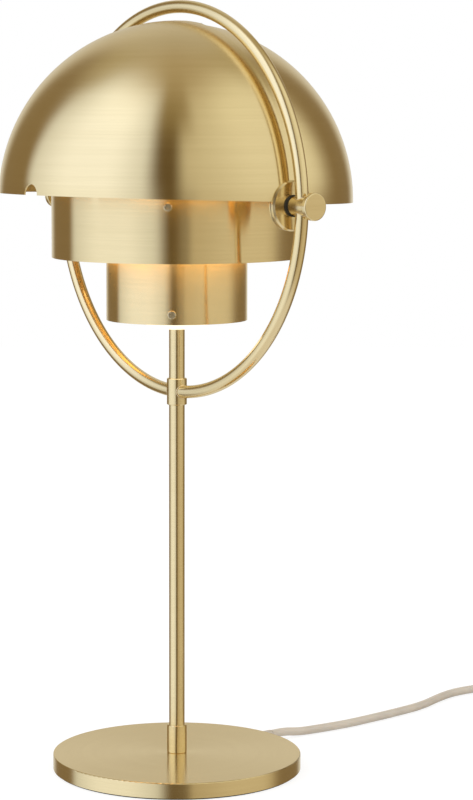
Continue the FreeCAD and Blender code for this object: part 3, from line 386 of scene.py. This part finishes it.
brass_dome = make_brass("brass_dome", 0.19, 0.95)
# The upper cylinder's inside glows with painted bulb light, out to about 80 mm from the axis.
brass_upper = make_brass("brass_upper", 0.19, 0.95, lit=80.2)
brass_lower = make_brass("brass_lower", 0.25, 1.0)
brass_base = make_brass("brass_base", 0.22, 0.85)
brass_stem = make_brass("brass_stem", 0.19, 0.9)
brass_ring = make_brass("brass_ring", 0.17, 0.5, "ring")
brass_turned = make_brass("brass_turned", 0.2, 0.0)
braze = make_metal("braze", (0.86, 0.70, 0.46), 0.30, 900.0)
screw_metal = make_metal("screw_metal", (0.80, 0.70, 0.48), 0.25, 900.0)
steel = make_metal("steel", (0.58, 0.57, 0.55), 0.35)
pin_metal = make_metal("pin_metal", (0.82, 0.78, 0.66), 0.18)
cap_metal = make_metal("cap_metal", (0.80, 0.79, 0.76), 0.28)
black_plastic = make_plastic("black_plastic", (0.018, 0.017, 0.016), 0.5)
pad_foam = make_plastic("pad_foam", (0.02, 0.019, 0.02), 0.85, 0.0, 1800.0, 0.00008, 0.25)
nylon = make_plastic("nylon", (0.80, 0.79, 0.74), 0.45)
housing_white = make_plastic("housing_white", (0.86, 0.84, 0.80), 0.4)
cord_skin = make_plastic("cord_skin", (0.62, 0.55, 0.46), 0.34, 0.35, 500.0, 0.00001, 0.04, 0.25)
fitting_skin = make_plastic("fitting_skin", (0.60, 0.54, 0.45), 0.38, 0.2, 1200.0, 0.00002, 0.03)
slider_skin = make_plastic("slider_skin", (0.44, 0.39, 0.32), 0.45, 0.1)
tie_skin = make_plastic("tie_skin", (0.80, 0.80, 0.78), 0.42)
opal_bowl = make_glow("opal_bowl", (0.92, 0.88, 0.80), (1.0, 0.86, 0.62), 0.85)
opal_globe = make_glow("opal_globe", (0.95, 0.93, 0.88), (1.0, 0.62, 0.26), 3.5)


# ---------------------------------------------------------------- cords

# The routes of the part's source, in millimetres. The last point of the link's route and the first of the
# tail's are left out: they lie on a straight run that the coil's first and last points carry on.
LEAD_ANGLE = math.radians(99.0)
LEAD_WAY = Vector((math.cos(LEAD_ANGLE), math.sin(LEAD_ANGLE), 0))
GLAND_START = 74.0
GLAND_END = 94.0
LEAD_HEIGHT = 5.3
CORD_RADIUS = 2.85
LEAD_ROUTE = [
    (-16.4, 119.5, 2.9), (-14.6, 138.0, 2.9), (-13.2, 160.0, 2.9), (-15.0, 186.0, 2.9),
    (-17.6, 213.0, 2.9), (-21.6, 241.0, 2.9), (-32.6, 268.0, 2.9), (-38.0, 288.0, 2.9),
    (-37.4, 307.0, 2.9), (-33.5, 325.0, 2.9), (-24.0, 339.1, 2.9), (-9.9, 348.6, 3.6),
    (6.6, 352.7, 7.3), (21.6, 352.7, 7.5),
]
LINK_ROUTE = [
    (83.6, 352.7, 7.5), (98.0, 352.7, 7.2), (112.8, 346.7, 3.6), (124.1, 335.4, 2.9),
    (130.0, 320.9, 3.1), (130.9, 308.0, 3.5),
]
TAIL_ROUTE = [
    (130.9, 271.5, 9.8), (134.6, 258.3, 7.4), (141.6, 245.6, 3.4), (148.0, 232.5, 3.2),
    (150.9, 217.5, 6.3), (151.0, 202.0, 6.85),
]
COIL_CENTRE = Vector((90.9, 290.0, 3.55))
COIL_START_RADIUS = 40.0
COIL_PITCH = 6.3
LOWER_HALF_TURNS = 5
POINTS_PER_HALF_TURN = 6


def make_curve(name, points, radius, material, closed=False, resolution=12):
    """A round line along one smooth spline, from points in millimetres."""
    curve = bpy.data.curves.new(name, "CURVE")
    curve.dimensions = "3D"
    spline = curve.splines.new("NURBS")
    spline.points.add(len(points) - 1)
    for point, spot in zip(spline.points, points):
        point.co = (*(Vector(spot) * MM), 1)
    spline.use_cyclic_u = closed
    spline.order_u = 3
    spline.use_endpoint_u = not closed
    spline.resolution_u = resolution
    curve.bevel_depth = radius * MM
    curve.bevel_resolution = 6
    curve.use_fill_caps = not closed
    curve.materials.append(material)
    piece = bpy.data.objects.new(name, curve)
    bpy.context.collection.objects.link(piece)
    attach(piece, "stand")
    return piece


def coil_points():
    """Control points for the coil's half turns: inwards below, one that climbs, and outwards above."""
    step = COIL_PITCH / 2
    inwards = [COIL_START_RADIUS - step * number for number in range(LOWER_HALF_TURNS)]
    innermost = COIL_START_RADIUS - step * LOWER_HALF_TURNS
    radii = inwards + [innermost] + inwards[::-1] + [COIL_START_RADIUS + step]
    here = COIL_CENTRE + Vector((COIL_START_RADIUS, 0, 0))
    way, side = Vector((0, -1, 0)), Vector((-1, 0, 0))
    half_step = math.pi / POINTS_PER_HALF_TURN / 2
    points = []
    for number, radius in enumerate(radii):
        climb = COIL_PITCH if number == LOWER_HALF_TURNS else 0
        end = here + side * radius * 2 + Vector((0, 0, climb))
        centre = (here + end) / 2
        arm = here - centre
        for spot in range(POINTS_PER_HALF_TURN):
            angle = half_step * (2 * spot + 1)
            out = 1 / math.cos(half_step)
            points.append(centre + (arm * math.cos(angle) + way * radius * math.sin(angle)) * out)
        here, way, side = end, -way, -side
    return points


lead_points = [LEAD_WAY * GLAND_END + Vector((0, 0, LEAD_HEIGHT)),
               LEAD_WAY * (GLAND_END + 12.0) + Vector((0, 0, LEAD_HEIGHT))] + LEAD_ROUTE
lead = make_curve("lead", lead_points, CORD_RADIUS, cord_skin)
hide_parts("cord_lead")
wound = make_curve("wound_lead", LINK_ROUTE + coil_points() + TAIL_ROUTE, CORD_RADIUS, cord_skin)
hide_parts("cord_link", "cord_coil", "cord_tail")


# ---------------------------------------------------------------- turned pieces

def make_lathe(name, profile, start, way, material, segments):
    """A piece of the stand turned about a line: profile is a list of (distance along the line, radius), in
    millimetres."""
    way = Vector(way).normalized()
    side = way.orthogonal().normalized()
    other = way.cross(side)
    shape = bmesh.new()
    rings = []
    for distance, radius in profile:
        rings.append([shape.verts.new((Vector(start) + way * distance + (
            side * math.cos(a) + other * math.sin(a)) * radius) * MM)
            for a in [2 * math.pi * i / segments for i in range(segments)]])
    for first, second in zip(rings, rings[1:]):
        for i in range(segments):
            j = (i + 1) % segments
            shape.faces.new((first[i], first[j], second[j], second[i]))
    bmesh.ops.recalc_face_normals(shape, faces=shape.faces)
    for face in shape.faces:
        face.smooth = True
    mesh = bpy.data.meshes.new(name)
    shape.to_mesh(mesh)
    shape.free()
    mesh.materials.append(material)
    piece = bpy.data.objects.new(name, mesh)
    bpy.context.collection.objects.link(piece)
    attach(piece, "stand")
    return piece


def make_gland():
    """The strain relief: a flexible sleeve that tapers along the lead, with grooves across it."""
    profile = [(0.0, 2.86), (0.0, 4.05), (5.6, 4.05), (5.6, 3.4), (7.3, 3.4), (7.3, 3.9)]
    here = 7.6
    while here < 18.5:
        radius = 3.9 - (here - 7.3) / 12.7 * 0.7
        profile += [(here, radius), (here + 0.9, radius - 0.03), (here + 1.05, radius - 0.42),
                    (here + 1.55, radius - 0.45), (here + 1.7, radius - 0.08)]
        here += 1.75
    profile += [(19.7, 3.2), (20.0, 3.05), (20.0, 2.86)]
    start = LEAD_WAY * GLAND_START + Vector((0, 0, LEAD_HEIGHT))
    gland = make_lathe("strain_relief", profile, start, LEAD_WAY, fitting_skin, 48)
    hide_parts("cord_gland")
    return gland


gland = make_gland()


# ---------------------------------------------------------------- plug and switch details

PLUG = Vector((151.0, 202.0, 6.85))
PIN_SPACING = 19.0
PLUG_LENGTH = 36.0
SWITCH = Vector((21.6, 352.7, 0.0))
SWITCH_LENGTH = 62.0


def make_block(name, low, high, edge, material, body="stand"):
    """A small block with rounded edges, between two corners in millimetres."""
    shape = bmesh.new()
    bmesh.ops.create_cube(shape, size=1.0)
    size = Vector(high) - Vector(low)
    middle = (Vector(high) + Vector(low)) / 2
    bmesh.ops.transform(shape, matrix=Matrix.Diagonal((*size, 1)), verts=shape.verts)
    bmesh.ops.translate(shape, vec=middle, verts=shape.verts)
    bmesh.ops.bevel(shape, geom=shape.edges, offset=edge, segments=3, affect="EDGES", profile=0.5)
    bmesh.ops.scale(shape, vec=Vector((MM, MM, MM)), verts=shape.verts)
    for face in shape.faces:
        face.smooth = True
    mesh = bpy.data.meshes.new(name)
    shape.to_mesh(mesh)
    shape.free()
    mesh.materials.append(material)
    piece = bpy.data.objects.new(name, mesh)
    bpy.context.collection.objects.link(piece)
    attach(piece, body)
    return piece


def soften(node, width, segments=3, angle=35):
    """Round the sharp edges of a CAD node where it is drawn."""
    piece = NODES[node]
    weld = piece.modifiers.new("weld", "WELD")
    weld.merge_threshold = 0.00001
    bevel = piece.modifiers.new("bevel", "BEVEL")
    bevel.width = width * MM
    bevel.segments = segments
    bevel.limit_method = "ANGLE"
    bevel.angle_limit = math.radians(angle)
    bevel.harden_normals = False


def make_plug_details():
    pieces = []
    sleeve = [(0.0, 3.6)]
    for rib in range(5):
        start = 1.0 + rib * 2.6
        radius = 4.5 - rib * 0.22
        sleeve += [(start, radius), (start + 1.5, radius),
                   (start + 1.7, radius - 0.6), (start + 2.4, radius - 0.6)]
    sleeve += [(14.0, 3.5), (15.0, 2.9)]
    pieces.append(make_lathe("plug_sleeve", sleeve, PLUG - Vector((0, 1.0, 0)), (0, 1, -0.06),
                             fitting_skin, 40))
    for number, side in enumerate((-1, 1)):
        start = PLUG + Vector((PIN_SPACING / 2 * side, -PLUG_LENGTH + 0.1, 0))
        pieces.append(make_lathe(f"pin_collar_{number}", [(0.0, 2.25), (8.6, 2.15), (9.0, 1.95)], start,
                                 (0, -1, 0), black_plastic, 32))
    for number in range(5):
        y = PLUG.y - PLUG_LENGTH + 5.0 + number * 3.0
        for name, side in (("left", -1), ("right", 1)):
            x = PLUG.x + 13.0 * side
            pieces.append(make_block(f"plug_grip_{name}_{number}", (x - 0.45, y, PLUG.z - 4.0),
                                     (x + 0.45, y + 1.2, PLUG.z + 4.0), 0.3, fitting_skin))
    return pieces


def make_switch_details():
    pieces = []
    box_low, box_high = (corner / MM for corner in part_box("switch_slider"))
    for number in range(5):
        x = (box_low.x + box_high.x) / 2 - 4.4 + number * 2.0
        pieces.append(make_block(f"slider_rib_{number}", (x, SWITCH.y - 3.2, box_high.z - 0.2),
                                 (x + 0.8, SWITCH.y + 3.2, box_high.z + 0.5), 0.25, slider_skin,
                                 "switch_slider"))
    for name, x, way in (("in", SWITCH.x + 0.6, -1), ("out", SWITCH.x + SWITCH_LENGTH - 0.6, 1)):
        pieces.append(make_lathe(f"switch_neck_{name}", [(0.0, 4.4), (2.6, 4.2), (5.4, 3.5), (6.0, 2.9)],
                                 (x, SWITCH.y, 7.5), (way, 0, 0), fitting_skin, 40))
    return pieces


plug_details = make_plug_details()
switch_details = make_switch_details()
for node in ("switch_base", "switch_cover"):
    soften(node, 1.0)
soften("plug_body", 1.4)
soften("switch_slider", 0.4)


# ---------------------------------------------------------------- brazed joints

def bead_points(centre, tube_way, other_radius, out_way, count=32):
    """Where the ring's tube meets a sleeve that it stands on: centre is on the sleeve's axis, tube_way points
    along the sleeve, and out_way from the sleeve's axis along the ring's tube."""
    tube_way, out_way = Vector(tube_way), Vector(out_way)
    aside = tube_way.cross(out_way)
    points = []
    for number in range(count):
        angle = 2 * math.pi * number / count
        u, v = (TUBE_RADIUS + 0.1) * math.cos(angle), (TUBE_RADIUS + 0.1) * math.sin(angle)
        depth = math.sqrt(other_radius ** 2 - v ** 2)
        points.append(Vector(centre) + tube_way * u + aside * v + out_way * depth)
    return points


COLLAR_RADIUS = 6.5
SLEEVE_RADIUS = 6.0
COLLAR_BEAD = 0.42
SLEEVE_BEAD = 0.3
COLLAR_BEAD_LIFT = 0.09


def make_braze():
    low = PIVOT_HEIGHT - RING_RADIUS + COLLAR_BEAD_LIFT
    for name, side in (("near", 1), ("far", -1)):
        bead = bead_points((0, 0, low), (0, 0, 1), COLLAR_RADIUS, (side, 0, 0))
        make_curve(f"braze_collar_{name}", bead, COLLAR_BEAD, braze, True)
        for place, up in (("top", 1), ("foot", -1)):
            centre = (RING_RADIUS * side, 0, PIVOT_HEIGHT)
            bead = bead_points(centre, (1, 0, 0), SLEEVE_RADIUS, (0, 0, up))
            make_curve(f"braze_pivot_{name}_{place}", bead, SLEEVE_BEAD, braze, True)


make_braze()


# ---------------------------------------------------------------- finishes of the CAD nodes

FINISH = {
    "front_shade": brass_dome, "back_shade": brass_dome,
    "upper_cylinder": brass_upper, "lower_cylinder": brass_lower,
    "base_cover": brass_base, "base_collar": brass_stem, "lower_stem": brass_stem, "upper_stem": brass_stem,
    "ring_collar": brass_stem, "ring_upper_arc": brass_ring, "ring_lower_arc_near": brass_ring,
    "ring_lower_arc_far": brass_ring, "base_pad": pad_foam, "diffuser": opal_bowl, "bulb_globe": opal_globe,
    "bulb_housing": housing_white, "bulb_cap": cap_metal, "plug_pins": pin_metal,
    "switch_slider": slider_skin, "holder_shell": screw_metal, "holder_contact": screw_metal,
    "upper_cylinder_screws": screw_metal, "lower_cylinder_screws": screw_metal,
}
for side in ("near", "far"):
    FINISH.update({f"{side}_pivot_sleeve": brass_turned, f"{side}_pivot_disc": brass_turned,
                   f"{side}_knob": brass_turned, f"{side}_pivot_stud": screw_metal,
                   f"{side}_ear_washer": nylon})
for group, material in (
        (("base_weight", "base_nut", "base_washer", "spider_nut", "upper_spider", "lower_spider",
          "near_clamp_washer", "far_clamp_washer"), steel),
        (("holder_cap", "holder_body", "holder_ring", "holder_core", "cord_stop", "near_pivot_bush",
          "far_pivot_bush"), black_plastic),
        (("switch_base", "switch_cover", "plug_body"), fitting_skin),
        (("inner_cord", "lead_cores"), cord_skin), (("cord_tie_front", "cord_tie_back"), tie_skin)):
    FINISH.update({node: material for node in group})
for node, piece in NODES.items():
    if node in FINISH:
        for slot in piece.material_slots:
            slot.material = FINISH[node]


bpy.context.scene.view_settings.view_transform = "Standard"
